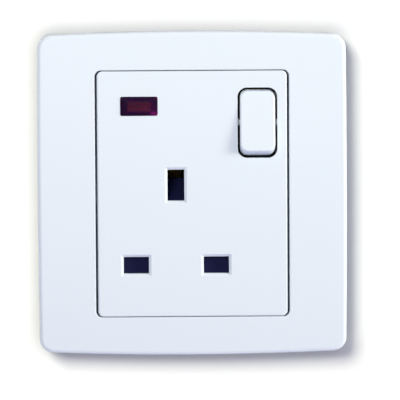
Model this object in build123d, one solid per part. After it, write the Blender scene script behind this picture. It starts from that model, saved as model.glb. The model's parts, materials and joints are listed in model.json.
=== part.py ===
from build123d import *
import math
import os

# A switched single wall socket with a neon, its clip-on surround and its works.
# Pieces are modelled in a bench frame: x to the right, y up the wall, z out of the wall, which is z = 0.
# For export each is turned so that +Z is up and the front faces -Y. Millimetres and degrees.

# Surround
surround_width = 86.0
surround_height = 90.0
surround_side_bow = 0.25
surround_end_bow = 1.0
surround_corner = 4.0
surround_projection = 8.8
surround_wall = 2.0
surround_draft = 1.2
surround_edge = 1.1
window_edge = 0.3
window_lip = 1.4

# Hooks that clip the surround to the flange
hook_inset = 4.65
hook_y = 24.0
hook_width = 5.6
hook_thickness = 1.3
hook_play = 0.3
barb_reach = 0.8
barb_play = 0.1

# Front panel: face, skirt and base flange in one moulding
panel_width = 52.5
panel_height = 68.1
panel_corner = 1.5
panel_side_gap = 0.6
panel_end_gap = 0.2
panel_rise = 0.2
panel_thickness = 2.4
panel_wall = 2.0
panel_edge = 0.4
flange_play = 0.6
flange_thickness = 1.6
flange_lift = 1.2
flange_rim = 1.4
flange_ring = 1.6
fixing_spacing = 60.3
fixing_hole_radius = 2.05
fixing_pad_radius = 5.0
screw_head_radius = 4.0
screw_head_height = 3.2
rib_thickness = 1.2

# Pins and their slots
pin_spacing = 22.2
socket_x = -4.55
pins_from_bottom = 14.25
line_slot_width = 7.0
line_slot_height = 4.65
earth_slot_width = 4.65
earth_slot_height = 8.65
slot_lead_in = 0.7
pin_thickness = 4.0
line_pin_length = 17.7
earth_pin_height = 8.0
earth_pin_length = 22.7
pin_end_room = 0.4

# Rocker, modelled level and then tipped to off
rocker_from_right = 8.13
rocker_from_top = 14.43
rocker_width = 9.7
rocker_hinge_depth = 3.0
rocker_rise = 1.0
rocker_end_radius = 9.15
rocker_skirt = 1.5
rocker_side_gap = 0.65
rocker_end_gap = 0.6
rocker_corner = 2.0
rocker_edge = 0.5
rocker_wall = 1.5
rocker_swing = 7.5
trunnion_radius = 1.0
trunnion_length = 1.5
trunnion_fit = 0.05
bearing_thickness = 1.8
bearing_wall = 1.35
stem_reach = 5.5
stem_wall = 0.8

# Plunger and its spring in the stem
plunger_radius = 1.4
plunger_fit = 0.1
plunger_reach = 7.8
plunger_grip = 4.2
plunger_wall = 0.45
plunger_gap = 0.1
plunger_spring_wire = 0.25
plunger_spring_turns = 6

# Switch contacts
sheet = 0.8
sheet_bend = 0.9
contact_swing = 11.0
contact_arm = 8.0
contact_width = 4.4
contact_cheek = 0.7
tip_radius = 1.4
tip_height = 0.6
tip_distance = 6.6
tip_gap = 0.03
pivot_pin_radius = 0.8
pivot_fit = 0.05
pivot_ear_wall = 0.9
bracket_play = 0.3
bracket_length = 6.0

# Pin contacts and straps
clip_preload = 0.25
clip_belly = 0.6
clip_flare = 1.2
clip_leaf_step = 3.5
line_clip_width = 6.0
line_clip_mouth = 1.5
earth_clip_width = 7.0
earth_clip_room = 0.6
strap_width = 3.0
strap_offset = 6.5
line_strip_offset = 1.5
line_strip_width = 3.4
strap_tail = 1.9
ear_slope = 60.0
contact_tab_width = 4.0

# Terminals
block_width = 8.0
block_length = 7.6
block_depth = 9.3
block_edge = 0.5
block_play = 0.2
conductor_bore_radius = 2.1
bore_wall = 1.0
entry_play = 0.6
terminal_screw_radius = 1.7
terminal_head_radius = 2.5
terminal_head_height = 1.6
screw_slot_width = 0.8
screw_slot_depth = 0.7
access_play = 0.7

# Shutter, its bay and its spring
shutter_thickness = 1.8
shutter_play = 0.2
shutter_cover = 0.75
shutter_clear = 0.2
cheek_thickness = 1.2
cheek_play = 0.3
ramp_depth = 5.6
ramp_toe = 0.6
guide_reach = 3.0
retainer_thickness = 1.6
retainer_margin = 1.3
peg_radius = 0.7
peg_boss_radius = 1.3
peg_fit = 0.05
peg_head = 0.2
peg_room = 0.9
peg_bite = 0.3
spring_pocket = 3.0
shutter_spring_wire = 0.3
shutter_spring_turns = 7
spring_play = 0.1

# Neon
neon_from_left = 11.61
neon_from_top = 9.69
lens_width = 10.26
lens_height = 5.23
lens_corner = 0.5
lens_fit = 0.05
lens_rise = 0.8
lens_land = 0.1
lens_side_bevel = 2.0
lens_end_bevel = 1.25
lens_flange = 1.0
lens_wall = 1.1
holder_wall = 1.0
holder_fit = 0.1
lamp_radius = 1.5
lamp_length = 9.0
lamp_room = 0.4
lamp_pinch = 1.2
lamp_pinch_thickness = 1.2
lead_radius = 0.3
lead_spread = 0.7
lead_bend = 1.0
lead_turn = 2.0
lead_play = 0.3
lead_tag_width = 1.8
resistor_length = 6.0
resistor_radius = 1.0
resistor_end_radius = 1.25
resistor_end_length = 1.2
link_length = 6.4

# Rear housing and its screws
housing_seat = 0.65
housing_wall = 1.8
housing_floor = 1.8
housing_corner = 3.0
housing_edge = 1.0
tongue_height = 1.0
tongue_fit = 0.15
post_radius = 3.0
left_post_bite = 1.0
right_post_bite = 1.5
top_post_bite = 0.9
upper_post_drop = 11.06
lower_post_rise = 10.8
right_post_rise = 7.8
boss_radius = 2.3
housing_screw_radius = 1.45
housing_screw_fit = 0.05
housing_screw_length = 24.0
housing_head_radius = 2.4
housing_head_height = 1.6
head_play = 0.15
boss_gap = 0.1
pedestal = 4.0
partition_thickness = 1.0

# Levels along z, from the face back
panel_face = surround_projection + panel_rise
panel_back = panel_face - panel_thickness
flange_back = flange_lift
flange_front = flange_lift + flange_thickness
shutter_front = panel_back - shutter_play
shutter_back = shutter_front - shutter_thickness
retainer_front = shutter_back - shutter_play
retainer_back = retainer_front - retainer_thickness
strap_front = panel_face - line_pin_length - pin_end_room
strap_back = strap_front - sheet
strap_middle = (strap_front + strap_back) / 2
earth_base_front = panel_face - earth_pin_length - pin_end_room
earth_base_back = earth_base_front - sheet
floor_front = strap_back - block_depth
floor_back = floor_front - housing_floor
bore_z = strap_back - bore_wall - conductor_bore_radius

# Outlines
window_width = panel_width + 2 * panel_side_gap
window_height = panel_height + 2 * panel_end_gap
window_corner = panel_corner + panel_end_gap
flange_inset = surround_wall + flange_play
flange_width = surround_width - 2 * (surround_side_bow + flange_inset)
flange_height = surround_height - 2 * (surround_end_bow + flange_inset)
flange_corner = surround_corner - surround_wall + flange_play
hook_x = flange_width / 2 - hook_inset
cavity_width = panel_width - 2 * panel_wall
cavity_height = panel_height - 2 * panel_wall
housing_width = cavity_width + 2 * housing_seat
housing_height = cavity_height + 2 * housing_seat
chamber_width = housing_width - 2 * housing_wall
chamber_height = housing_height - 2 * housing_wall
chamber_corner = housing_corner - housing_wall

# Pins
pin_y = pins_from_bottom - panel_height / 2
earth_y = pin_y + pin_spacing
neutral_x = socket_x - pin_spacing / 2
live_x = socket_x + pin_spacing / 2

# Shutter
shutter_travel = line_slot_height + shutter_cover + shutter_clear
bar_half_width = pin_spacing / 2 + line_slot_width / 2 + shutter_cover
bar_half_height = line_slot_height / 2 + shutter_cover
bar_top = pin_y + bar_half_height
bar_bottom = pin_y - bar_half_height
cheek_inner = earth_slot_width / 2 + cheek_play
cheek_outer = cheek_inner + cheek_thickness
ramp_bottom = earth_y - earth_slot_height / 2
ramp_top = earth_y - earth_pin_height / 2 - shutter_clear + shutter_travel
ramp_back = shutter_back - ramp_depth
guide_inner = cheek_outer + cheek_play
guide_outer = guide_inner + rib_thickness
bay_half_width = bar_half_width + cheek_play
bay_outer = bay_half_width + rib_thickness
bay_low = -cavity_height / 2
bay_step = bar_top + 2 * peg_boss_radius + 2 * peg_room
guide_top = ramp_top + guide_reach
peg_x = bay_half_width - peg_boss_radius + peg_bite
peg_upper_y = bar_top + peg_room + peg_boss_radius
peg_lower_y = bay_low + peg_boss_radius + shutter_play
shutter_spring_radius = (panel_back - retainer_front) / 2 - spring_play - shutter_spring_wire / 2

# Rocker and switch places and levels
rocker_x = panel_width / 2 - rocker_from_right
rocker_y = panel_height / 2 - rocker_from_top
rocker_z = panel_face - rocker_hinge_depth
rocker_front = rocker_hinge_depth + rocker_rise
aperture_width = rocker_width + 2 * rocker_side_gap
aperture_height = 2 * (rocker_end_radius + rocker_end_gap)
aperture_corner = rocker_corner + rocker_end_gap
stem_bore_radius = plunger_radius + plunger_fit
stem_radius = stem_bore_radius + stem_wall
stem_bore_end = rocker_front - rocker_wall
cos_swing = math.cos(math.radians(contact_swing))
sin_swing = math.sin(math.radians(contact_swing))
vee_z = rocker_z - plunger_reach - (plunger_radius + plunger_gap) / cos_swing
pivot_z = vee_z - sheet / cos_swing - pivot_fit - pivot_pin_radius
cheek_half = contact_width / 2
ear_inner = cheek_half + bracket_play
pivot_pin_half = ear_inner + 2 * sheet
arm_closed_z = pivot_z + (vee_z - pivot_z) * cos_swing
tip_y = rocker_y + (vee_z - pivot_z) * sin_swing + tip_distance
tab_front = arm_closed_z - sheet - 2 * tip_height - tip_gap
live_strap_x = rocker_x - strap_offset
line_strip_x = rocker_x - line_strip_offset

# Terminal places
lower_block_y = -chamber_height / 2 + block_play + block_length / 2
upper_block_y = -lower_block_y
terminals = [
    (rocker_x, lower_block_y),
    (neutral_x, lower_block_y),
    (socket_x, upper_block_y),
]

# Neon place and levels
neon_x = neon_from_left - panel_width / 2
neon_y = panel_height / 2 - neon_from_top
lens_flange_back = panel_back - lens_flange
lamp_z = lens_flange_back - lamp_room - lamp_radius
holder_floor_front = lamp_z - lamp_radius - holder_fit
holder_back = holder_floor_front - holder_wall
holder_inner_width = lens_width + 2 * (lens_flange + holder_fit)
holder_inner_height = lens_height + 2 * (lens_flange + holder_fit)
holder_width = holder_inner_width + 2 * holder_wall
holder_height = holder_inner_height + 2 * holder_wall
lamp_left = neon_x - lamp_length / 2
lamp_end = neon_x + lamp_length / 2
resistor_left = lamp_end + link_length
resistor_right = resistor_left + resistor_length
neutral_lead_x = (neutral_x + line_clip_width / 2 + socket_x - guide_outer) / 2

# Housing screws: two at the left wall, one at the right wall and one at the top
left_post_x = -chamber_width / 2 + post_radius - left_post_bite
right_post_x = chamber_width / 2 - post_radius + right_post_bite
top_post_x = (socket_x + block_width / 2 + live_strap_x - strap_width / 2) / 2
top_post_y = chamber_height / 2 - post_radius + top_post_bite
housing_screw_places = [
    (left_post_x, neon_y - upper_post_drop),
    (left_post_x, pin_y + lower_post_rise),
    (right_post_x, pin_y + right_post_rise),
    (top_post_x, top_post_y),
]
screw_seat = floor_back + housing_head_height + head_play
screw_tip = screw_seat + housing_screw_length


def slab(width, height, low, high, x=0.0, y=0.0, corner=0.0):
    """Upright block on a rectangle, with rounded corners where corner is given."""
    outline = RectangleRounded(width, height, corner) if corner else Rectangle(width, height)
    return Pos(x, y, low) * extrude(outline, amount=high - low)


def span(left, right, bottom, top, low, high):
    """Block between two corners."""
    return slab(right - left, top - bottom, low, high, (left + right) / 2, (bottom + top) / 2)


def post(radius, low, high, x, y):
    """Round post along z."""
    return Pos(x, y, low) * Cylinder(radius, high - low, align=(Align.CENTER, Align.CENTER, Align.MIN))


def rod(radius, left, right, y, z):
    """Round rod along x."""
    lying = Rot(Y=90) * Cylinder(radius, right - left, align=(Align.CENTER, Align.CENTER, Align.MIN))
    return Pos(left, y, z) * lying


def side_plane(x, y=0.0, z=0.0):
    """Plane across x, with y to its right and z up."""
    return Plane(origin=(x, y, z), x_dir=(0, 1, 0), z_dir=(1, 0, 0))


def folded_strip(points, width, across, bend=sheet_bend):
    """Sheet-metal strip of the given width, folded along the middle of its thickness."""
    path = FilletPolyline(*points, radius=bend)
    section = Plane(origin=path @ 0, x_dir=across, z_dir=path % 0) * Rectangle(width, sheet)
    return sweep(section, path=path)


def bent_wire(points, bend=lead_bend):
    """Round wire along straight runs and bends."""
    path = FilletPolyline(*points, radius=bend) if len(points) > 2 else Line(*points)
    section = Plane(origin=path @ 0, z_dir=path % 0) * Circle(lead_radius)
    return sweep(section, path=path)


def coil(radius, wire, turns, length):
    """Coil spring along +z from the origin, ends included, of square wire."""
    rise = length - wire
    path = Helix(pitch=rise / turns, height=rise, radius=radius, center=(0, 0, wire / 2))
    section = Plane(origin=path @ 0, x_dir=(1, 0, 0), z_dir=path % 0) * Rectangle(wire, wire)
    return sweep(section, path=path, is_frenet=True)


def bowed_outline(inset, corner):
    """Surround outline with bowed sides, drawn in by inset."""
    half_width = surround_width / 2 - inset
    half_height = surround_height / 2 - inset
    x = half_width - surround_side_bow
    y = half_height - surround_end_bow
    sides = [
        ThreePointArc((-x, -y), (0, -half_height), (x, -y)),
        ThreePointArc((x, -y), (half_width, 0), (x, y)),
        ThreePointArc((x, y), (0, half_height), (-x, y)),
        ThreePointArc((-x, y), (-half_width, 0), (-x, -y)),
    ]
    outline = make_face(sides)
    return fillet(outline.vertices(), corner)


def drafted(outline, height):
    """Block on an outline, its sides leaning in by the surround's draft."""
    block = extrude(outline, amount=height)
    sides = block.faces().filter_by(Axis.Z, reverse=True)
    return draft(sides, neutral_plane=Plane.XY, angle=surround_draft)


def surround_hook(side):
    """Hook at the right (side 1) or left (side -1), with its barb outward under the flange."""
    tip = barb_play
    catch = flange_back - barb_play
    root = surround_projection - surround_wall + window_edge
    stalk = span(-hook_thickness / 2, hook_thickness / 2, -hook_width / 2, hook_width / 2, tip, root)
    edge = hook_thickness / 2
    barb = Polygon((0, tip), (edge, tip), (edge + barb_reach, catch), (0, catch), align=None)
    barb_plane = Plane(origin=(0, hook_width / 2, 0), x_dir=(1, 0, 0), z_dir=(0, -1, 0))
    hook = stalk + extrude(barb_plane * barb, amount=hook_width)
    return hook if side > 0 else mirror(hook, about=Plane.YZ)


def surround():
    """Clip-on outer frame: a drafted shell with a return wall round the window."""
    outer = drafted(bowed_outline(0, surround_corner), surround_projection)
    outer = fillet(outer.faces().sort_by(Axis.Z)[-1].edges(), surround_edge)
    inner_top = surround_projection - surround_wall
    inner_corner = surround_corner - surround_wall
    hollow = drafted(bowed_outline(surround_wall, inner_corner), inner_top)
    lip_width = window_width + 2 * window_lip
    lip_height = window_height + 2 * window_lip
    lip_corner = window_corner + window_lip
    hollow -= slab(lip_width, lip_height, flange_front, surround_projection, corner=lip_corner)
    body = outer - hollow
    body -= slab(window_width, window_height, 0, panel_face, corner=window_corner)
    front = body.faces().filter_by(Axis.Z).sort_by(Axis.Z)[-1]
    body = fillet(front.inner_wires()[0].edges(), window_edge)
    for side in (-1, 1):
        head_x = side * fixing_spacing / 2
        body -= post(screw_head_radius, flange_front, flange_front + screw_head_height, head_x, 0)
        for end in (-1, 1):
            body += Pos(side * hook_x, end * hook_y, 0) * surround_hook(side)
    return body


def slot_cutter(width, height, x, y):
    """Pin slot with its lead-in at the face."""
    mouth = Rectangle(width + 2 * slot_lead_in, height + 2 * slot_lead_in)
    throat = Rectangle(width, height)
    lead_in = loft([Pos(x, y, panel_face) * mouth, Pos(x, y, panel_face - slot_lead_in) * throat])
    return lead_in + slab(width, height, panel_back, panel_face, x, y)


def panel_flange():
    """Base flange with its rim, seat ring and pads, before the fixing and hook holes."""
    flange = slab(flange_width, flange_height, flange_back, flange_front, corner=flange_corner)
    rim_hole_width = flange_width - 2 * flange_rim
    rim_hole_height = flange_height - 2 * flange_rim
    rim = slab(flange_width, flange_height, 0, flange_back, corner=flange_corner)
    rim -= slab(rim_hole_width, rim_hole_height, 0, flange_back, corner=flange_corner - flange_rim)
    ring_width = panel_width + 2 * flange_ring
    ring_height = panel_height + 2 * flange_ring
    ring = slab(ring_width, ring_height, 0, flange_back, corner=panel_corner + flange_ring)
    flange = flange + rim + ring
    for side in (-1, 1):
        flange += post(fixing_pad_radius, 0, flange_back, side * fixing_spacing / 2, 0)
    return flange


def shutter_guides():
    """Ribs and pegs behind the face that guide the shutter and carry its retainer."""
    guides = None
    for side in (-1, 1):
        bay_edges = sorted((socket_x + side * bay_half_width, socket_x + side * bay_outer))
        stem_edges = sorted((socket_x + side * guide_inner, socket_x + side * guide_outer))
        pieces = [
            span(*bay_edges, bay_low, bay_step, retainer_front, panel_back),
            span(*stem_edges, bay_step - rib_thickness, guide_top, retainer_front, panel_back),
        ]
        for y in (peg_lower_y, peg_upper_y):
            x = socket_x + side * peg_x
            pieces.append(post(peg_boss_radius, retainer_front, panel_back, x, y))
            pieces.append(post(peg_radius, retainer_back - peg_head, retainer_front, x, y))
        for piece in pieces:
            guides = piece if guides is None else guides + piece
    return guides


def rocker_bearings():
    """Two ears behind the face, one each side of the rocker."""
    depth = trunnion_radius + trunnion_fit + bearing_wall
    ears = None
    for side in (-1, 1):
        inner = rocker_x + side * aperture_width / 2
        edges = sorted((inner, inner + side * bearing_thickness))
        ear = span(*edges, rocker_y - depth, rocker_y + depth, rocker_z - depth, panel_back)
        ears = ear if ears is None else ears + ear
    return ears


def front_panel():
    """Insert with the slots, skirt, base flange, guides, bearings and screw bosses."""
    body = slab(panel_width, panel_height, 0, panel_face, corner=panel_corner)
    body = fillet(body.faces().sort_by(Axis.Z)[-1].edges(), panel_edge)
    body += panel_flange()
    body -= slab(cavity_width, cavity_height, 0, panel_back)
    body += shutter_guides()
    body += rocker_bearings()
    for x, y in housing_screw_places:
        body += post(boss_radius, 0, panel_back, x, y)
    for x, y in housing_screw_places:
        body -= post(housing_screw_radius + housing_screw_fit, 0, screw_tip + boss_gap, x, y)
    body -= slot_cutter(earth_slot_width, earth_slot_height, socket_x, earth_y)
    for x in (neutral_x, live_x):
        body -= slot_cutter(line_slot_width, line_slot_height, x, pin_y)
    aperture = (aperture_width, aperture_height)
    body -= slab(*aperture, panel_back, panel_face, rocker_x, rocker_y, aperture_corner)
    window = (lens_width + 2 * lens_fit, lens_height + 2 * lens_fit)
    body -= slab(*window, panel_back, panel_face, neon_x, neon_y, lens_corner)
    bearing_half = rocker_width / 2 + trunnion_length + rocker_side_gap
    bearing_radius = trunnion_radius + trunnion_fit
    body -= rod(bearing_radius, rocker_x - bearing_half, rocker_x + bearing_half, rocker_y, rocker_z)
    for side in (-1, 1):
        body -= post(fixing_hole_radius, 0, flange_front, side * fixing_spacing / 2, 0)
        for end in (-1, 1):
            slot_width = hook_thickness + 2 * hook_play
            slot_length = hook_width + 2 * hook_play
            body -= slab(slot_width, slot_length, 0, flange_front, side * hook_x, end * hook_y)
    return body


def rocker_level():
    """Rocker with its hinge axis on x through the origin and its face towards +z."""
    strip_height = rocker_front + rocker_skirt
    strip_middle = (rocker_front - rocker_skirt) / 2
    strip = Rectangle(2 * aperture_height, strip_height)
    profile = Circle(rocker_end_radius) & Pos(0, strip_middle) * strip
    body = extrude(side_plane(-rocker_width / 2) * profile, amount=rocker_width)
    body = fillet(body.edges().filter_by(GeomType.CIRCLE), rocker_corner)
    body = fillet(body.faces().sort_by(Axis.Z)[-1].edges(), rocker_edge)
    hollow = Circle(rocker_end_radius - rocker_wall) & Pos(0, strip_middle - rocker_wall) * strip
    hollow_width = rocker_width - 2 * rocker_wall
    body -= extrude(side_plane(-hollow_width / 2) * hollow, amount=hollow_width)
    trunnion_half = rocker_width / 2 + trunnion_length
    for side in (-1, 1):
        edges = sorted((side * hollow_width / 2, side * trunnion_half))
        body += rod(trunnion_radius, *edges, 0, 0)
    body += post(stem_radius, -stem_reach, stem_bore_end, 0, 0)
    body -= post(stem_bore_radius, -stem_reach, stem_bore_end, 0, 0)
    return body


def plunger_level():
    """Hollow plunger with a round nose, in the rocker's own frame."""
    top = plunger_grip - stem_reach
    nose = Pos(0, 0, -plunger_reach) * Sphere(plunger_radius)
    outer = post(plunger_radius, -plunger_reach, top, 0, 0) + nose
    return outer - post(plunger_radius - plunger_wall, -plunger_reach, top, 0, 0)


def plunger_spring_level():
    """Spring from the end of the stem's bore into the plunger, in the rocker's own frame."""
    radius = plunger_radius - plunger_wall - spring_play - plunger_spring_wire / 2
    length = stem_bore_end + plunger_reach - 2 * spring_play
    spring = coil(radius, plunger_spring_wire, plunger_spring_turns, length)
    return Pos(0, 0, spring_play - plunger_reach) * spring


def tip_rocker(piece):
    """Carry a piece of the level rocker to its off position in the panel."""
    return Pos(rocker_x, rocker_y, rocker_z) * Rot(X=-rocker_swing) * piece


def contact_level():
    """See-saw contact with its pivot on x through the origin and its vee open towards +z."""
    middle = vee_z - pivot_z - sheet / 2 / cos_swing
    reach_y = contact_arm * cos_swing
    reach_z = middle + contact_arm * sin_swing
    points = [(0, -reach_y, reach_z), (0, 0, middle), (0, reach_y, reach_z)]
    body = folded_strip(points, contact_width, (1, 0, 0))
    hub = pivot_pin_radius + pivot_fit + pivot_ear_wall
    for side in (-1, 1):
        left = min(side * cheek_half, side * (cheek_half - contact_cheek))
        profile = Circle(hub) + Pos(0, middle / 2) * Rectangle(2 * hub, middle)
        body += extrude(side_plane(left) * profile, amount=contact_cheek)
    return body - rod(pivot_pin_radius + pivot_fit, -cheek_half, cheek_half, 0, 0)


def contact_tip_level():
    """Silver tip behind the upper arm of the level see-saw."""
    tip = post(tip_radius, -tip_height, 0, 0, tip_distance)
    arm_back = vee_z - pivot_z - sheet / cos_swing
    return Pos(0, 0, arm_back) * Rot(X=contact_swing) * tip


def open_contact(piece):
    """Carry a piece of the level see-saw to its place in the open switch."""
    return Pos(rocker_x, rocker_y, pivot_z) * Rot(X=contact_swing) * piece


def fixed_contact_tip():
    """Silver tip on the live contact's tab."""
    return post(tip_radius, tab_front, tab_front + tip_height, rocker_x, tip_y)


def contact_pivot_pin():
    """Pin that the see-saw turns on, through the bracket's ears."""
    return rod(pivot_pin_radius, rocker_x - pivot_pin_half, rocker_x + pivot_pin_half, rocker_y, pivot_z)


def line_bracket():
    """Incoming line strip from its terminal up to the ears of the switch."""
    outer = ear_inner + sheet
    base = slab(2 * outer, bracket_length, strap_back, strap_front, rocker_x, rocker_y)
    strip_edges = (line_strip_x - line_strip_width / 2, line_strip_x + line_strip_width / 2)
    body = base + span(*strip_edges, lower_block_y - strap_tail, rocker_y, strap_back, strap_front)
    hub = pivot_pin_radius + pivot_ear_wall
    ear_height = pivot_z - strap_back
    foot = Trapezoid(bracket_length, ear_height, ear_slope, align=(Align.CENTER, Align.MIN))
    ear = Circle(hub) + Pos(0, -ear_height) * foot
    for left in (-outer, ear_inner):
        body += extrude(side_plane(rocker_x + left, rocker_y, pivot_z) * ear, amount=sheet)
    return body - rod(pivot_pin_radius, rocker_x - outer, rocker_x + outer, rocker_y, pivot_z)


def clip_path(mouth_z, base_front):
    """Middle line of a spring clip, from one flared mouth round its base to the other, as (u, z) pairs."""
    half = sheet / 2
    mouth = pin_thickness / 2 + clip_flare + half
    grip = pin_thickness / 2 - clip_preload + half
    belly = pin_thickness / 2 + clip_belly + half
    grip_z = mouth_z - clip_leaf_step
    leaf = [(mouth, mouth_z), (grip, grip_z), (belly, grip_z - clip_leaf_step), (belly, base_front - half)]
    return leaf + [(-u, z) for u, z in reversed(leaf)]


def line_clip(x):
    """Clip that grips the flat faces of the line or neutral pin."""
    points = [(x, pin_y + u, z) for u, z in clip_path(line_clip_mouth, strap_front)]
    return folded_strip(points, line_clip_width, (1, 0, 0))


def live_contact():
    """Live pin clip, its strap up the housing and the raised tab under the switch."""
    strap_left = live_strap_x - strap_width / 2
    strap_right = live_strap_x + strap_width / 2
    body = line_clip(live_x)
    strap_low = pin_y - strap_width / 2
    strap_high = tip_y + contact_tab_width / 2
    body += span(live_x, strap_right, strap_low, strap_low + strap_width, strap_back, strap_front)
    body += span(strap_left, strap_right, strap_low, strap_high, strap_back, strap_front)
    tab_middle = tab_front - sheet / 2
    tab_right = rocker_x + tip_radius + sheet
    riser_x = (strap_right + rocker_x - tip_radius) / 2
    points = [
        (live_strap_x, tip_y, strap_middle),
        (riser_x, tip_y, strap_middle),
        (riser_x, tip_y, tab_middle),
        (tab_right, tip_y, tab_middle),
    ]
    return body + folded_strip(points, contact_tab_width, (0, 1, 0))


def neutral_contact():
    """Neutral pin clip with its strap to the terminal and the tag of the neon's wire."""
    half = line_clip_width / 2
    body = line_clip(neutral_x)
    strap_low = lower_block_y - strap_tail
    body += span(neutral_x - half, neutral_x + half, strap_low, pin_y, strap_back, strap_front)
    tag_half = lead_tag_width / 2
    tag_right = neutral_lead_x + tag_half
    return body + span(neutral_x, tag_right, pin_y - tag_half, pin_y + tag_half, strap_back, strap_front)


def earth_contact():
    """Earth pin clip with its stepped strap up to the earth terminal."""
    mouth_z = ramp_back - earth_clip_room
    points = [(socket_x + u, earth_y, z) for u, z in clip_path(mouth_z, earth_base_front)]
    body = folded_strip(points, earth_clip_width, (0, 1, 0))
    base_middle = earth_base_front - sheet / 2
    step_low = earth_y + earth_clip_width
    step_high = step_low + strap_middle - base_middle
    strap = [
        (socket_x, earth_y, base_middle),
        (socket_x, step_low, base_middle),
        (socket_x, step_high, strap_middle),
        (socket_x, upper_block_y + strap_tail, strap_middle),
    ]
    return body + folded_strip(strap, pin_thickness, (1, 0, 0))


def terminal_block(x, y):
    """Brass block with its conductor bore along y and a screw hole from behind."""
    block = slab(block_width, block_length, floor_front, strap_back, x, y)
    block = chamfer(block.edges().filter_by(Axis.Z), block_edge)
    bore = Rot(X=90) * Cylinder(conductor_bore_radius, block_length)
    block -= Pos(x, y, bore_z) * bore
    return block - post(terminal_screw_radius + housing_screw_fit, floor_front, bore_z, x, y)


def slotted_screw(head_radius, head_height, shank_radius, shank_length):
    """Screw with its seat at the origin, its head towards -z and its shank towards +z."""
    screw = post(head_radius, -head_height, 0, 0, 0) + post(shank_radius, 0, shank_length, 0, 0)
    slot_length = 2 * (head_radius + head_play)
    return screw - slab(slot_length, screw_slot_width, -head_height, screw_slot_depth - head_height)


def terminal_screws():
    """Three clamping screws, backed off clear of the bores."""
    reach = bore_z - conductor_bore_radius - floor_front - block_play
    screw = slotted_screw(terminal_head_radius, terminal_head_height, terminal_screw_radius, reach)
    return [Pos(x, y, floor_front) * screw for x, y in terminals]


def housing_screws():
    """Four screws through the housing's posts into the panel's bosses."""
    head = (housing_head_radius, housing_head_height)
    screw = slotted_screw(*head, housing_screw_radius, housing_screw_length)
    return [Pos(x, y, screw_seat) * screw for x, y in housing_screw_places]


def shutter():
    """Slider with the bar over the line slots and the cheeks and ramp behind the earth slot."""
    left_edge = socket_x - cheek_outer
    right_edge = socket_x + cheek_outer
    body = slab(2 * bar_half_width, 2 * bar_half_height, shutter_back, shutter_front, socket_x, pin_y)
    body += span(left_edge, right_edge, pin_y, ramp_bottom, shutter_back, shutter_front)
    for left in (left_edge, right_edge - cheek_thickness):
        body += span(left, left + cheek_thickness, ramp_bottom, ramp_top, ramp_back, shutter_front)
    ramp_foot = (ramp_top, ramp_back + ramp_toe)
    ramp_crest = (ramp_bottom, shutter_front)
    ramp = Polygon((ramp_bottom, ramp_back), (ramp_top, ramp_back), ramp_foot, ramp_crest, align=None)
    body += extrude(side_plane(left_edge) * ramp, amount=2 * cheek_outer)
    pocket_width = 2 * (shutter_spring_radius + spring_play) + shutter_spring_wire
    pocket_y = bar_bottom + spring_pocket / 2
    return body - slab(pocket_width, spring_pocket, shutter_back, shutter_front, socket_x, pocket_y)


def shutter_spring():
    """Spring from the skirt's lower wall up into the shutter's pocket."""
    low = bay_low + spring_play
    length = bar_bottom + spring_pocket - spring_play - low
    spring = coil(shutter_spring_radius, shutter_spring_wire, shutter_spring_turns, length)
    return Pos(socket_x, low, (panel_back + retainer_front) / 2) * Rot(X=-90) * spring


def shutter_retainer():
    """Plate behind the shutter, staked on the panel's pegs, open for the pins and the ramp."""
    low = bay_low + shutter_play
    half = guide_outer + retainer_margin
    body = span(socket_x - bay_outer, socket_x + bay_outer, low, bay_step, retainer_back, retainer_front)
    body += span(socket_x - half, socket_x + half, pin_y, guide_top, retainer_back, retainer_front)
    for x in (neutral_x, live_x):
        body -= slab(line_slot_width, line_slot_height, retainer_back, retainer_front, x, pin_y)
    ramp_low = ramp_bottom - shutter_travel - cheek_play
    ramp_high = max(ramp_top, earth_y + earth_slot_height / 2) + cheek_play
    ramp_edges = (socket_x - guide_inner, socket_x + guide_inner)
    body -= span(*ramp_edges, ramp_low, ramp_high, retainer_back, retainer_front)
    for side in (-1, 1):
        for y in (peg_lower_y, peg_upper_y):
            body -= post(peg_radius + peg_fit, retainer_back, retainer_front, socket_x + side * peg_x, y)
    return body


def neon_lens():
    """Bevelled window with a flange behind the face, hollow for the lamp's light."""
    land = panel_face + lens_land
    body = slab(lens_width, lens_height, lens_flange_back, land, neon_x, neon_y, lens_corner)
    base = RectangleRounded(lens_width, lens_height, lens_corner)
    crown_width = lens_width - 2 * lens_side_bevel
    crown_height = lens_height - 2 * lens_end_bevel
    crown = RectangleRounded(crown_width, crown_height, lens_corner)
    body += loft([Pos(neon_x, neon_y, land) * base, Pos(neon_x, neon_y, panel_face + lens_rise) * crown])
    flange_size = (lens_width + 2 * lens_flange, lens_height + 2 * lens_flange)
    body += slab(*flange_size, lens_flange_back, panel_back - lens_fit, neon_x, neon_y)
    return body - slab(crown_width, crown_height, lens_flange_back, panel_face - lens_wall, neon_x, neon_y)


def lamp_holder():
    """Tray over the lens flange, against the panel, with a notch for the lamp's wires."""
    body = slab(holder_width, holder_height, holder_back, panel_back, neon_x, neon_y)
    body -= slab(holder_inner_width, holder_inner_height, holder_floor_front, panel_back, neon_x, neon_y)
    notch_height = 2 * (lead_spread + lead_radius + lead_play)
    notch_x = neon_x + holder_width / 2
    return body - slab(holder_width, notch_height, holder_floor_front, panel_back, notch_x, neon_y)


def neon_lamp():
    """Glass lamp lying along x, round at one end and pinched flat at the other."""
    bulb_left = lamp_left + lamp_radius
    bulb_right = lamp_end - lamp_pinch
    bulb = rod(lamp_radius, bulb_left, bulb_right, neon_y, lamp_z)
    bulb += Pos(bulb_left, neon_y, lamp_z) * Sphere(lamp_radius)
    pinch_size = (2 * lamp_pinch, 2 * (lead_spread + lead_radius))
    pinch_low = lamp_z - lamp_pinch_thickness / 2
    pinch_high = lamp_z + lamp_pinch_thickness / 2
    return bulb + slab(*pinch_size, pinch_low, pinch_high, bulb_right, neon_y)


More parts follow.
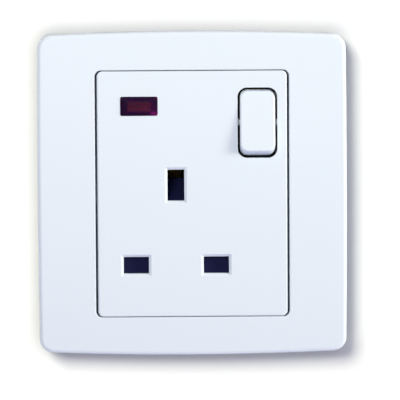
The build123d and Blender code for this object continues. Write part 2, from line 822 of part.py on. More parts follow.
def neon_resistor():
    """Axial resistor with two thicker ends, lying along x in line with the lamp's upper wire."""
    y = neon_y + lead_spread
    body = rod(resistor_radius, resistor_left, resistor_right, y, lamp_z)
    body += rod(resistor_end_radius, resistor_left, resistor_left + resistor_end_length, y, lamp_z)
    return body + rod(resistor_end_radius, resistor_right - resistor_end_length, resistor_right, y, lamp_z)


def neon_link_lead():
    """Straight wire from the lamp to the resistor."""
    y = neon_y + lead_spread
    return bent_wire([(lamp_end, y, lamp_z), (resistor_left, y, lamp_z)])


def neon_live_lead():
    """Wire from the resistor to the live strap."""
    y = neon_y + lead_spread
    return bent_wire([
        (resistor_right, y, lamp_z),
        (live_strap_x, y, lamp_z),
        (live_strap_x, y, strap_front),
    ])


def neon_neutral_lead():
    """Wire from the lamp round the holder and down to the neutral contact's tag."""
    start_y = neon_y - lead_spread
    turn_x = neon_x + holder_width / 2 + lead_turn
    run_z = ramp_back - lead_bend
    shift = turn_x - neutral_lead_x
    run_top = guide_top + lead_turn
    return bent_wire([
        (lamp_end, start_y, lamp_z),
        (turn_x, start_y, lamp_z),
        (turn_x, start_y, run_z),
        (turn_x, run_top + shift, run_z),
        (neutral_lead_x, run_top, run_z),
        (neutral_lead_x, pin_y, run_z),
        (neutral_lead_x, pin_y, strap_front),
    ])


def conductor_entry(x, y):
    """Notch for a conductor through the housing's end wall beside a terminal, open at the back."""
    radius = conductor_bore_radius + entry_play
    end = math.copysign(1, y)
    edges = sorted((y, end * housing_height))
    notch = span(x - radius, x + radius, *edges, floor_back, bore_z)
    length = edges[1] - edges[0]
    notch += Pos(x, sum(edges) / 2, bore_z) * Rot(X=90) * Cylinder(radius, length)
    wall_edges = sorted((end * chamber_height / 2, end * housing_height))
    return notch & span(x - block_width, x + block_width, *wall_edges, floor_back, 0)


def housing_supports():
    """Pedestals under the straps and clips, and the partition between the live and line sides."""
    places = [
        (neutral_x, pin_y, strap_back),
        (live_x, pin_y, strap_back),
        (live_strap_x, rocker_y - contact_arm, strap_back),
        (rocker_x, rocker_y, strap_back),
        (line_strip_x, pin_y + pin_spacing / 2, strap_back),
        (socket_x, earth_y, earth_base_back),
    ]
    wall_x = (live_strap_x + strap_width / 2 + line_strip_x - line_strip_width / 2) / 2
    wall_edges = (wall_x - partition_thickness / 2, wall_x + partition_thickness / 2)
    wall_top = rocker_y - bracket_length
    supports = span(*wall_edges, pin_y, wall_top, floor_front, strap_front + pedestal)
    for x, y, top in places:
        supports += slab(strap_width, pedestal, floor_front, top, x, y)
    return supports


def rear_housing():
    """Rear moulding: shell with a tongue into the panel, posts, supports and terminal openings."""
    body = slab(housing_width, housing_height, floor_back, 0, corner=housing_corner)
    body = fillet(body.faces().sort_by(Axis.Z)[0].edges(), housing_edge)
    tongue_width = cavity_width - 2 * tongue_fit
    tongue_length = cavity_height - 2 * tongue_fit
    body += slab(tongue_width, tongue_length, 0, tongue_height, corner=chamber_corner)
    body -= slab(chamber_width, chamber_height, floor_front, tongue_height, corner=chamber_corner)
    body += housing_supports()
    for x, y in housing_screw_places:
        body += post(post_radius, floor_front, -boss_gap, x, y)
        body -= post(boss_radius + tongue_fit, -boss_gap, tongue_height, x, y)
    for x, y in housing_screw_places:
        body -= post(housing_screw_radius + housing_screw_fit, floor_back, 0, x, y)
        body -= post(housing_head_radius + head_play, floor_back, screw_seat, x, y)
    for x, y in terminals:
        body -= post(terminal_head_radius + access_play, floor_back, floor_front, x, y)
        body -= conductor_entry(x, y)
    return body


def hang(shape):
    """Turn a piece from the bench frame to the wall: +Z up and the front towards -Y."""
    if isinstance(shape, list):
        return Compound(children=[hang(one) for one in shape])
    return Rot(X=90) * shape


nodes = {
    "surround": surround(),
    "front_panel": front_panel(),
    "rear_housing": rear_housing(),
    "housing_screws": housing_screws(),
    "rocker": tip_rocker(rocker_level()),
    "rocker_plunger": tip_rocker(plunger_level()),
    "plunger_spring": tip_rocker(plunger_spring_level()),
    "moving_contact": open_contact(contact_level()),
    "moving_contact_tip": open_contact(contact_tip_level()),
    "contact_pivot_pin": contact_pivot_pin(),
    "line_bracket": line_bracket(),
    "live_contact": live_contact(),
    "fixed_contact_tip": fixed_contact_tip(),
    "neutral_contact": neutral_contact(),
    "earth_contact": earth_contact(),
    "line_terminal_block": terminal_block(*terminals[0]),
    "neutral_terminal_block": terminal_block(*terminals[1]),
    "earth_terminal_block": terminal_block(*terminals[2]),
    "terminal_screws": terminal_screws(),
    "shutter": shutter(),
    "shutter_spring": shutter_spring(),
    "shutter_retainer": shutter_retainer(),
    "neon_lens": neon_lens(),
    "lamp_holder": lamp_holder(),
    "neon_lamp": neon_lamp(),
    "neon_resistor": neon_resistor(),
    "neon_link_lead": neon_link_lead(),
    "neon_live_lead": neon_live_lead(),
    "neon_neutral_lead": neon_neutral_lead(),
}

os.makedirs("parts", exist_ok=True)
for name, shape in nodes.items():
    export_step(hang(shape), f"parts/{name}.step")
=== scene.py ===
"""Looks of a switched wall socket: finishes, fine pieces, wall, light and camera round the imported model."""

import json
import logging
import math
from dataclasses import dataclass
from enum import Enum
from typing import Callable, Sequence

import bmesh
import bpy
from mathutils import Matrix, Vector


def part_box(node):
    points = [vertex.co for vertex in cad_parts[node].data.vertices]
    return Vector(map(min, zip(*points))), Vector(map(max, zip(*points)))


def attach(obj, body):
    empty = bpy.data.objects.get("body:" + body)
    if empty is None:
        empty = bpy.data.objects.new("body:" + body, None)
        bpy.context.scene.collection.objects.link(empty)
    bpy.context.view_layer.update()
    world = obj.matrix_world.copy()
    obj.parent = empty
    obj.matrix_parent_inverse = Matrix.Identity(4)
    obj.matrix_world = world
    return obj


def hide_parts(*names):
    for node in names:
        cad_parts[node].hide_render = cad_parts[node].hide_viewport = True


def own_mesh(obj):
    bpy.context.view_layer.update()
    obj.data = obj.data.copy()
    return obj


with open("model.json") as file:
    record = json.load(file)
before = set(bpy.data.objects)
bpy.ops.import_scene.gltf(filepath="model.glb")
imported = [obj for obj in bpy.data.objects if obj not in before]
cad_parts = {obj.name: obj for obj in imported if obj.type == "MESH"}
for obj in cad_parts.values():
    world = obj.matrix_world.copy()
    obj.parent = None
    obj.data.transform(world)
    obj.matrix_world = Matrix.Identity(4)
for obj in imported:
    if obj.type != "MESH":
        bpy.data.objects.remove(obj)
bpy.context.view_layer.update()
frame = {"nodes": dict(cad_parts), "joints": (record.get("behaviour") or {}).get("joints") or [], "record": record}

MM = 0.001
PHOTO_PIXELS = 400.0
LOG = logging.getLogger("switched_socket")
JOINTS = {joint["name"]: joint for joint in frame["joints"]}

Colour = tuple[float, float, float]
Point = tuple[float, float, float]

# Usual low and high of a noise value.
NOISE_LOW = 0.3
NOISE_HIGH = 0.7


def srgb(red: float, green: float, blue: float) -> Colour:
    """Turn a screen colour into the linear one that shaders take.

    Args:
        red: Red channel from 0 to 255.
        green: Green channel from 0 to 255.
        blue: Blue channel from 0 to 255.

    Returns:
        The linear colour.
    """
    shares = (red / 255.0, green / 255.0, blue / 255.0)
    return tuple(s / 12.92 if s <= 0.04045 else ((s + 0.055) / 1.055) ** 2.4 for s in shares)


class Body(Enum):
    """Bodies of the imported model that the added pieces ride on."""

    SOCKET = "socket_body"
    ROCKER = "switch_rocker"


class Slot(Enum):
    """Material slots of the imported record."""

    WHITE = "white_plastic"
    HOUSING = "housing_plastic"
    INNER = "inner_plastic"
    BLACK = "black_plastic"
    LENS = "lens_plastic"
    LAMP = "lamp_glass"
    BRASS = "brass"
    SILVER = "silver"
    STEEL = "steel"
    SPRING = "spring_steel"
    RESISTOR = "resistor_coat"
    WIRE = "tinned_wire"


class Lay(Enum):
    """Direction of the fine lines that rolling or drawing leaves in metal, as noise stretches per axis."""

    ALONG_Z = (1.0, 1.0, 0.08)
    NONE = (1.0, 1.0, 1.0)


class Reach(Enum):
    """What a lamp lights: the part, or the wall on which the part throws its shadow."""

    PART = "EXCLUDE"
    WALL = "INCLUDE"


class ShaderGraph:
    """Node graph of one material round its Principled shader."""

    def __init__(self, name: str) -> None:
        """Start the material.

        Args:
            name: Name of the material.
        """
        self.material = bpy.data.materials.new(name)
        self.material.use_nodes = True
        self.tree = self.material.node_tree
        self.shader = self.tree.nodes["Principled BSDF"]

    def add(self, kind: str, **settings: object) -> bpy.types.Node:
        """Add a node.

        Args:
            kind: Blender's name for the node type.
            **settings: Properties of the node.

        Returns:
            The new node.
        """
        node = self.tree.nodes.new(kind)
        for key, value in settings.items():
            setattr(node, key, value)
        return node

    def join(self, source: bpy.types.NodeSocket, target: bpy.types.NodeSocket) -> None:
        """Link one socket to another."""
        self.tree.links.new(source, target)

    def set(self, **values: object) -> None:
        """Set constant sockets of the Principled shader, named with underscores for spaces."""
        for key, value in values.items():
            self.shader.inputs[key.replace("_", " ")].default_value = value

    def noise(
        self, size: float, detail: float = 2.0, stretch: Sequence[float] = Lay.NONE.value
    ) -> bpy.types.NodeSocket:
        """Noise fixed to the object.

        Args:
            size: Size of its grains in metres.
            detail: How many finer layers it has.
            stretch: Frequency share along each axis.

        Returns:
            The noise value, about 0.5 on average.
        """
        place = self.add("ShaderNodeTexCoord")
        mapping = self.add("ShaderNodeMapping")
        mapping.inputs["Scale"].default_value = [share / size for share in stretch]
        grain = self.add("ShaderNodeTexNoise")
        grain.inputs["Scale"].default_value = 1.0
        grain.inputs["Detail"].default_value = detail
        self.join(place.outputs["Object"], mapping.inputs["Vector"])
        self.join(mapping.outputs["Vector"], grain.inputs["Vector"])
        return grain.outputs["Fac"]

    def ranged(self, value: bpy.types.NodeSocket, low: float, high: float) -> bpy.types.NodeSocket:
        """Stretch a noise value over a range.

        Args:
            value: Noise value.
            low: Result at the noise's usual low.
            high: Result at the noise's usual high.

        Returns:
            The stretched value.
        """
        node = self.add("ShaderNodeMapRange")
        node.inputs["From Min"].default_value = NOISE_LOW
        node.inputs["From Max"].default_value = NOISE_HIGH
        node.inputs["To Min"].default_value = low
        node.inputs["To Max"].default_value = high
        self.join(value, node.inputs["Value"])
        return node.outputs["Result"]

    def blended(self, share: bpy.types.NodeSocket, first: Colour, second: Colour) -> bpy.types.NodeSocket:
        """Blend two colours.

        Args:
            share: Share of the second colour.
            first: Colour at share 0.
            second: Colour at share 1.

        Returns:
            The blended colour.
        """
        node = self.add("ShaderNodeMix", data_type="RGBA")
        colours = [socket for socket in node.inputs if socket.type == "RGBA"]
        colours[0].default_value = (*first, 1.0)
        colours[1].default_value = (*second, 1.0)
        self.join(share, node.inputs[0])
        return next(socket for socket in node.outputs if socket.type == "RGBA")

    def roughen(self, height: bpy.types.NodeSocket, depth: float) -> None:
        """Raise the surface by a noise value.

        Args:
            height: Noise value.
            depth: Height in metres at a value of 1.
        """
        bump = self.add("ShaderNodeBump")
        bump.inputs["Distance"].default_value = depth
        self.join(height, bump.inputs["Height"])
        self.join(bump.outputs["Normal"], self.shader.inputs["Normal"])

    def vary_roughness(self, grain: bpy.types.NodeSocket, middle: float, spread: float) -> None:
        """Let the roughness follow a noise value, by the spread to either side of its middle."""
        level = self.ranged(grain, middle - spread, middle + spread)
        self.join(level, self.shader.inputs["Roughness"])

    def seen_ray(self) -> bpy.types.NodeSocket:
        """Test for rays that show a surface to the eye, straight, by reflection or through glass.

        Returns:
            1 for such rays and 0 for others.
        """
        ray = self.add("ShaderNodeLightPath")
        first = self.add("ShaderNodeMath", operation="MAXIMUM")
        second = self.add("ShaderNodeMath", operation="MAXIMUM")
        self.join(ray.outputs["Is Camera Ray"], first.inputs[0])
        self.join(ray.outputs["Is Glossy Ray"], first.inputs[1])
        self.join(first.outputs[0], second.inputs[0])
        self.join(ray.outputs["Is Transmission Ray"], second.inputs[1])
        return second.outputs[0]


@dataclass(frozen=True)
class MouldedPlastic:
    """Moulded plastic with a faint mottle and a fine grain."""

    name: str
    slot: Slot
    colour: Colour
    shade: Colour
    roughness: float
    roughness_spread: float
    grain_size: float
    grain_depth: float
    mottle_size: float = 12 * MM
    grain_detail: float = 3.0
    ior: float = 1.5
    shine: float = 0.5

    def make(self) -> bpy.types.Material:
        """Build the material.

        Returns:
            The material.
        """
        graph = ShaderGraph(self.name)
        graph.set(IOR=self.ior, Specular_IOR_Level=self.shine)
        mottle = graph.noise(self.mottle_size)
        graph.join(graph.blended(mottle, self.colour, self.shade), graph.shader.inputs["Base Color"])
        grain = graph.noise(self.grain_size, detail=self.grain_detail)
        graph.vary_roughness(grain, self.roughness, self.roughness_spread)
        graph.roughen(grain, self.grain_depth)
        return graph.material


@dataclass(frozen=True)
class WorkedMetal:
    """Bare or plated metal with fine lines from rolling, drawing or turning."""

    name: str
    slot: Slot
    colour: Colour
    stain: Colour
    roughness: float
    lay: Lay
    roughness_share: float = 0.3
    stain_size: float = 3 * MM
    stain_detail: float = 4.0
    line_size: float = 0.15 * MM
    line_depth: float = 0.0015 * MM

    def make(self) -> bpy.types.Material:
        """Build the material.

        Returns:
            The material.
        """
        graph = ShaderGraph(self.name)
        graph.set(Metallic=1.0)
        stain = graph.noise(self.stain_size, detail=self.stain_detail)
        graph.join(graph.blended(stain, self.colour, self.stain), graph.shader.inputs["Base Color"])
        lines = graph.noise(self.line_size, stretch=self.lay.value)
        graph.vary_roughness(lines, self.roughness, self.roughness * self.roughness_share)
        graph.roughen(lines, self.line_depth)
        return graph.material


@dataclass(frozen=True)
class TintedClear:
    """Clear plastic or glass that takes its tint from its depth, and may have another colour, painted shade, on
    sloped sides.

    A face has the main colour where the share of its normal along Y is front_facing or more, and the painted
    side shade where it is side_facing or less.
    """

    name: str
    slot: Slot
    colour: Colour
    tint: Colour
    tint_density: float
    ior: float
    roughness: float
    ripple_depth: float
    painted_side_shade_colour: Colour | None = None
    ripple_size: float = 2 * MM
    roughness_share: float = 0.4
    side_facing: float = 0.95
    front_facing: float = 0.99
    clearness: float = 1.0

    def make(self) -> bpy.types.Material:
        """Build the material.

        Returns:
            The material.
        """
        graph = ShaderGraph(self.name)
        graph.set(IOR=self.ior, Transmission_Weight=self.clearness)
        if self.painted_side_shade_colour is None:
            graph.set(Base_Color=(*self.colour, 1.0))
        else:
            # Painted shade: sloped sides of the lens take a darker, bluer colour in place of the darkness that
            # refraction gives them.
            blend = graph.blended(self.front_share(graph), self.painted_side_shade_colour, self.colour)
            graph.join(blend, graph.shader.inputs["Base Color"])
        ripple = graph.noise(self.ripple_size)
        graph.vary_roughness(ripple, self.roughness, self.roughness * self.roughness_share)
        graph.roughen(ripple, self.ripple_depth)
        depth = graph.add("ShaderNodeVolumeAbsorption")
        depth.inputs["Color"].default_value = (*self.tint, 1.0)
        depth.inputs["Density"].default_value = self.tint_density
        graph.join(depth.outputs["Volume"], graph.tree.nodes["Material Output"].inputs["Volume"])
        return graph.material

    def front_share(self, graph: ShaderGraph) -> bpy.types.NodeSocket:
        """Measure how far a face is turned to the front or the back, the mask for the painted side shade.

        Args:
            graph: Graph that takes the nodes.

        Returns:
            1 for such a face, and 0 for a sloped side.
        """
        place = graph.add("ShaderNodeTexCoord")
        parts = graph.add("ShaderNodeSeparateXYZ")
        facing = graph.add("ShaderNodeMath", operation="ABSOLUTE")
        level = graph.add("ShaderNodeMapRange")
        level.inputs["From Min"].default_value = self.side_facing
        level.inputs["From Max"].default_value = self.front_facing
        graph.join(place.outputs["Normal"], parts.inputs["Vector"])
        graph.join(parts.outputs["Y"], facing.inputs[0])
        graph.join(facing.outputs[0], level.inputs["Value"])
        return level.outputs["Result"]


@dataclass(frozen=True)
class BandedCoat:
    """Lacquer of a resistor, with colour bands across its length."""

    name: str
    slot: Slot
    colour: Colour
    bands: tuple[tuple[float, Colour], ...]
    band_share: float
    roughness: float
    roughness_share: float = 0.3
    grain_size: float = 0.3 * MM
    grain_depth: float = 0.01 * MM

    def make(self) -> bpy.types.Material:
        """Build the material, with the bands placed along the length of the resistor's node.

        Returns:
            The material.
        """
        low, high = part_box("neon_resistor")
        graph = ShaderGraph(self.name)
        place = graph.add("ShaderNodeTexCoord")
        parts = graph.add("ShaderNodeSeparateXYZ")
        along = graph.add("ShaderNodeMapRange")
        along.inputs["From Min"].default_value = low.x
        along.inputs["From Max"].default_value = high.x
        ramp = graph.add("ShaderNodeValToRGB")
        ramp.color_ramp.interpolation = "CONSTANT"
        ramp.color_ramp.elements[0].color = (*self.colour, 1.0)
        ramp.color_ramp.elements.remove(ramp.color_ramp.elements[1])
        for start, tone in self.bands:
            ramp.color_ramp.elements.new(start).color = (*tone, 1.0)
            ramp.color_ramp.elements.new(start + self.band_share).color = (*self.colour, 1.0)
        graph.join(place.outputs["Object"], parts.inputs["Vector"])
        graph.join(parts.outputs["X"], along.inputs["Value"])
        graph.join(along.outputs["Result"], ramp.inputs["Fac"])
        graph.join(ramp.outputs["Color"], graph.shader.inputs["Base Color"])
        grain = graph.noise(self.grain_size)
        graph.vary_roughness(grain, self.roughness, self.roughness * self.roughness_share)
        graph.roughen(grain, self.grain_depth)
        return graph.material


Finish = MouldedPlastic | WorkedMetal | TintedClear | BandedCoat

WHITE_GLOSS = MouldedPlastic(
    name="white_gloss_moulding",
    slot=Slot.WHITE,
    colour=srgb(227, 235, 242),
    shade=srgb(225, 234, 241),
    roughness=0.3,
    roughness_spread=0.01,
    grain_size=0.8 * MM,
    grain_depth=0.0001 * MM,
)
HOUSING_SATIN = MouldedPlastic(
    name="housing_satin_moulding",
    slot=Slot.HOUSING,
    colour=srgb(226, 228, 229),
    shade=srgb(221, 223, 224),
    roughness=0.5,
    roughness_spread=0.06,
    grain_size=0.18 * MM,
    grain_depth=0.006 * MM,
)
INNER_SATIN = MouldedPlastic(
    name="inner_satin_moulding",
    slot=Slot.INNER,
    colour=srgb(228, 226, 220),
    shade=srgb(222, 220, 213),
    roughness=0.45,
    roughness_spread=0.06,
    grain_size=0.2 * MM,
    grain_depth=0.005 * MM,
)
BLACK_SATIN = MouldedPlastic(
    name="shutter_black_moulding",
    slot=Slot.BLACK,
    colour=srgb(27, 29, 64),
    shade=srgb(24, 26, 60),
    roughness=0.45,
    roughness_spread=0.06,
    grain_size=0.2 * MM,
    grain_depth=0.004 * MM,
    shine=0.15,
)
STAMPED_BRASS = WorkedMetal(
    name="stamped_brass",
    slot=Slot.BRASS,
    colour=srgb(218, 184, 112),
    stain=srgb(202, 164, 92),
    roughness=0.3,
    lay=Lay.ALONG_Z,
)
TURNED_BRASS = WorkedMetal(
    name="turned_brass",
    slot=Slot.BRASS,
    colour=srgb(214, 180, 108),
    stain=srgb(198, 160, 90),
    roughness=0.28,
    lay=Lay.NONE,
)
CONTACT_SILVER = WorkedMetal(
    name="contact_silver",
    slot=Slot.SILVER,
    colour=srgb(222, 221, 217),
    stain=srgb(205, 203, 198),
    roughness=0.35,
    lay=Lay.NONE,
)
ZINC_STEEL = WorkedMetal(
    name="zinc_plated_steel",
    slot=Slot.STEEL,
    colour=srgb(196, 199, 205),
    stain=srgb(182, 186, 190),
    roughness=0.32,
    lay=Lay.NONE,
)
SPRING_WIRE = WorkedMetal(
    name="spring_wire",
    slot=Slot.SPRING,
    colour=srgb(176, 178, 182),
    stain=srgb(158, 160, 165),
    roughness=0.25,
    lay=Lay.NONE,
)
TINNED_WIRE = WorkedMetal(
    name="tinned_wire",
    slot=Slot.WIRE,
    colour=srgb(205, 205, 202),
    stain=srgb(190, 190, 187),
    roughness=0.3,
    lay=Lay.NONE,
)
LENS_RED = TintedClear(
    name="lens_dark_red",
    slot=Slot.LENS,
    colour=srgb(201, 112, 170),
    # Painted shade on the lens bevels: darker and bluer than the front.
    painted_side_shade_colour=srgb(136, 82, 184),
    tint=srgb(230, 60, 190),
    tint_density=450.0,
    ior=1.49,
    roughness=0.07,
    ripple_depth=0.002 * MM,
    clearness=0.95,
)
LAMP_CLEAR = TintedClear(
    name="lamp_clear_glass",
    slot=Slot.LAMP,
    colour=srgb(248, 246, 244),
    tint=srgb(235, 238, 236),
    tint_density=20.0,
    ior=1.5,
    roughness=0.03,
    ripple_depth=0.01 * MM,
)
RESISTOR_LACQUER = BandedCoat(
    name="resistor_lacquer",
    slot=Slot.RESISTOR,
    colour=srgb(206, 178, 138),
    bands=(
        (0.14, srgb(96, 56, 30)),
        (0.32, srgb(40, 110, 60)),
        (0.48, srgb(214, 190, 44)),
        (0.74, srgb(184, 146, 60)),
    ),
    band_share=0.08,
    roughness=0.35,
)


class Finishes:
    """Materials made once and shared by the pieces that take them."""

    def __init__(self) -> None:
        """Start with none made."""
        self.made: dict[str, bpy.types.Material] = {}

    def material(self, finish: Finish) -> bpy.types.Material:
        """Give a finish's material, made at its first use.

        Args:
            finish: The finish.

        Returns:
            Its material.
        """
        if finish.name not in self.made:
            self.made[finish.name] = finish.make()
        return self.made[finish.name]

    def dress(self, node: str, finish: Finish) -> None:
        """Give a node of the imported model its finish.

        Args:
            node: Name of the node.
            finish: Finish that it takes.
        """
        piece = frame["nodes"][node]
        for holder in piece.material_slots:
            holder.material = self.material(finish)
        LOG.info("dressed %s in %s", node, finish.name)


def add_piece(
    name: str, mesh: bpy.types.Mesh, finish: Finish, body: Body, finishes: Finishes
) -> bpy.types.Object:
    """Add a piece to the scene, in its finish and on its body.

    Args:
        name: Name of the piece.
        mesh: Its mesh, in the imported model's frame.
        finish: Finish that it takes.
        body: Body that it rides on.
        finishes: Materials made so far.

    Returns:
        The new object.
    """
    piece = bpy.data.objects.new(name, mesh)
    bpy.context.scene.collection.objects.link(piece)
    mesh.materials.append(finishes.material(finish))
    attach(piece, body.value)
    LOG.info("made %s on %s", name, body.value)
    return piece


def mesh_from(
    name: str, build: Callable[[bmesh.types.BMesh], None], crease: float = 35.0
) -> bpy.types.Mesh:
    """Build a smooth-shaded mesh with sharp creases.

    Args:
        name: Name of the mesh.
        build: Function that fills an empty mesh.
        crease: Angle in degrees from which an edge stays sharp.

    Returns:
        The finished mesh.
    """
    work = bmesh.new()
    build(work)
    bmesh.ops.recalc_face_normals(work, faces=work.faces)
    mesh = bpy.data.meshes.new(name)
    work.to_mesh(mesh)
    work.free()
    mesh.polygons.foreach_set("use_smooth", [True] * len(mesh.polygons))
    mesh.set_sharp_from_angle(angle=math.radians(crease))
    return mesh


def add_bar(work: bmesh.types.BMesh, low: Vector, high: Vector) -> None:
    """Add a plain bar between two corners.

    Args:
        work: Mesh that takes the bar.
        low: Corner with the least coordinates.
        high: Corner with the greatest coordinates.
    """
    size = high - low
    place = Matrix.Translation((low + high) / 2) @ Matrix.Diagonal((*size, 1.0))
    bmesh.ops.create_cube(work, size=1.0, matrix=place)


def sweep_wire(work: bmesh.types.BMesh, path: Sequence[Vector], radius: float, sides: int) -> None:
    """Sweep a round wire along a path, with flat ends.

    Args:
        work: Mesh that takes the wire.
        path: Points of its middle line.
        radius: Wire radius.
        sides: Points round the wire.
    """
    across = None
    rings = []
    turns = [2 * math.pi * step / sides for step in range(sides)]
    for index, point in enumerate(path):
        before = path[max(index - 1, 0)]
        after = path[min(index + 1, len(path) - 1)]
        along = (after - before).normalized()
        across = along.orthogonal() if across is None else across - along * across.dot(along)
        across.normalize()
        other = along.cross(across)
        spokes = [math.cos(turn) * across + math.sin(turn) * other for turn in turns]
        rings.append([work.verts.new(point + radius * spoke) for spoke in spokes])
    for low, high in zip(rings, rings[1:]):
        for step in range(sides):
            nxt = (step + 1) % sides
            work.faces.new((low[step], low[nxt], high[nxt], high[step]))
    work.faces.new(rings[0])
    work.faces.new(rings[-1])


@dataclass
class CoilSpring:
    """Round-wire compression spring with closed ends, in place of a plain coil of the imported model."""

    node: str
    joint: str
    body: Body
    origin: Vector
    axis: Vector
    wire: float
    turns: float
    dead_turns: float
    travel: float
    fixed_high: bool
    steps: int = 28
    sides: int = 10

    def span(self) -> tuple[float, float, float]:
        """Extent of the node along the axis and round it.

        Returns:
            Lowest and highest place along the axis from the origin, and the outer radius.
        """
        offsets = [vertex.co - self.origin for vertex in frame["nodes"][self.node].data.vertices]
        places = [offset.dot(self.axis) for offset in offsets]
        reach = max((offset - self.axis * place).length for offset, place in zip(offsets, places))
        return min(places), max(places), reach

    def path(self) -> list[Vector]:
        """Middle line of the wire, close-wound at both ends.

        Returns:
            Its points.
        """
        low, high, reach = self.span()
        radius = reach - self.wire / 2
        across = self.axis.orthogonal().normalized()
        other = self.axis.cross(across)
        live_turns = self.turns - 2 * self.dead_turns
        dead_rise = self.dead_turns * self.wire
        live_rise = high - low - self.wire - 2 * dead_rise
        count = int(self.turns * self.steps)
        points = []
        for index in range(count + 1):
            turn = self.turns * index / count
            live = min(max(turn - self.dead_turns, 0.0), live_turns)
            rise = (turn - live) * self.wire + live_rise * live / live_turns
            angle = 2 * math.pi * turn
            spoke = math.cos(angle) * across + math.sin(angle) * other
            points.append(self.origin + self.axis * (low + self.wire / 2 + rise) + radius * spoke)
        return points

    def build(self, finishes: Finishes) -> None:
        """Make the spring and put it in place of its node.

        Args:
            finishes: Materials made so far.
        """
        name = self.node + "_wire"
        points = self.path()
        mesh = mesh_from(name, lambda work: sweep_wire(work, points, self.wire / 2, self.sides))
        piece = add_piece(name, mesh, SPRING_WIRE, self.body, finishes)
        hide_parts(self.node)
        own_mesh(piece)


@dataclass
class FacePlate:
    """White mouldings that show in the room: surround, front panel and rocker."""

    finishes: Finishes

    def dress(self) -> None:
        """Give the white mouldings their gloss."""
        for node in ("surround", "front_panel", "rocker"):
            self.finishes.dress(node, WHITE_GLOSS)


@dataclass
class SwitchWorks:
    """Plunger, spring, see-saw contact and line parts behind the rocker."""

    finishes: Finishes
    spring_wire: float = 0.25 * MM
    spring_turns: float = 8.0
    dead_turns: float = 1.0

    def build(self) -> None:
        """Make the round-wire plunger spring."""
        slide = JOINTS["plunger_slide"]
        CoilSpring(
            node="plunger_spring",
            joint="plunger_slide",
            body=Body.ROCKER,
            origin=Vector(JOINTS["rocker_hinge"]["pos_m"]),
            axis=Vector(slide["axis"]).normalized(),
            wire=self.spring_wire,
            turns=self.spring_turns,
            dead_turns=self.dead_turns,
            travel=slide["range_m"][1],
            fixed_high=True,
        ).build(self.finishes)

    def dress(self) -> None:
        """Give the switch's pieces their finishes."""
        self.finishes.dress("rocker_plunger", INNER_SATIN)
        for node in ("moving_contact", "line_bracket"):
            self.finishes.dress(node, STAMPED_BRASS)
        for node in ("moving_contact_tip", "fixed_contact_tip"):
            self.finishes.dress(node, CONTACT_SILVER)
        self.finishes.dress("contact_pivot_pin", ZINC_STEEL)


@dataclass
class ShutterWorks:
    """Pin shutter, its spring and its retainer."""

    finishes: Finishes
    spring_wire: float = 0.3 * MM
    spring_turns: float = 9.0
    dead_turns: float = 1.25

    def build(self) -> None:
        """Make the round-wire shutter spring."""
        low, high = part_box("shutter_spring")
        CoilSpring(
            node="shutter_spring",
            joint="shutter_slide",
            body=Body.SOCKET,
            origin=Vector(((low.x + high.x) / 2, (low.y + high.y) / 2, low.z)),
            axis=Vector((0.0, 0.0, 1.0)),
            wire=self.spring_wire,
            turns=self.spring_turns,
            dead_turns=self.dead_turns,
            travel=JOINTS["shutter_slide"]["range_m"][1],
            fixed_high=False,
        ).build(self.finishes)

    def dress(self) -> None:
        """Give the shutter and its retainer their finish."""
        for node in ("shutter", "shutter_retainer"):
            self.finishes.dress(node, BLACK_SATIN)


@dataclass
class NeonWorks:
    """Neon window, lamp, holder, resistor and wires."""

    finishes: Finishes
    electrode_radius: float = 0.22 * MM
    electrode_spread: float = 0.7 * MM
    electrode_lead: float = 1.6 * MM
    electrode_end: float = 2.4 * MM
    electrode_sides: int = 12

    def build(self) -> None:
        """Make the two electrodes that show through the lamp's glass."""
        low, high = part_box("neon_lamp")
        middle = (low + high) / 2
        for name, side in (("lamp_upper_electrode", 1), ("lamp_lower_electrode", -1)):
            level = middle + Vector((0.0, 0.0, side * self.electrode_spread))
            path = [
                Vector((low.x + self.electrode_lead, level.y, level.z)),
                Vector((high.x - self.electrode_end, level.y, level.z)),
            ]
            mesh = mesh_from(
                name, lambda work: sweep_wire(work, path, self.electrode_radius, self.electrode_sides)
            )
            add_piece(name, mesh, TINNED_WIRE, Body.SOCKET, self.finishes)

    def dress(self) -> None:
        """Give the neon's pieces their finishes."""
        self.finishes.dress("neon_lens", LENS_RED)
        self.finishes.dress("lamp_holder", INNER_SATIN)
        self.finishes.dress("neon_lamp", LAMP_CLEAR)
        self.finishes.dress("neon_resistor", RESISTOR_LACQUER)
        for node in ("neon_link_lead", "neon_live_lead", "neon_neutral_lead"):
            self.finishes.dress(node, TINNED_WIRE)


@dataclass
class PinContacts:
    """Spring clips for the plug's pins, with the terminals that they lead to."""

    finishes: Finishes

    def dress(self) -> None:
        """Give the clips, blocks and screws their finishes."""
        for node in ("live_contact", "neutral_contact", "earth_contact"):
            self.finishes.dress(node, STAMPED_BRASS)
        for node in ("line_terminal_block", "neutral_terminal_block", "earth_terminal_block"):
            self.finishes.dress(node, STAMPED_BRASS)
        self.finishes.dress("terminal_screws", TURNED_BRASS)


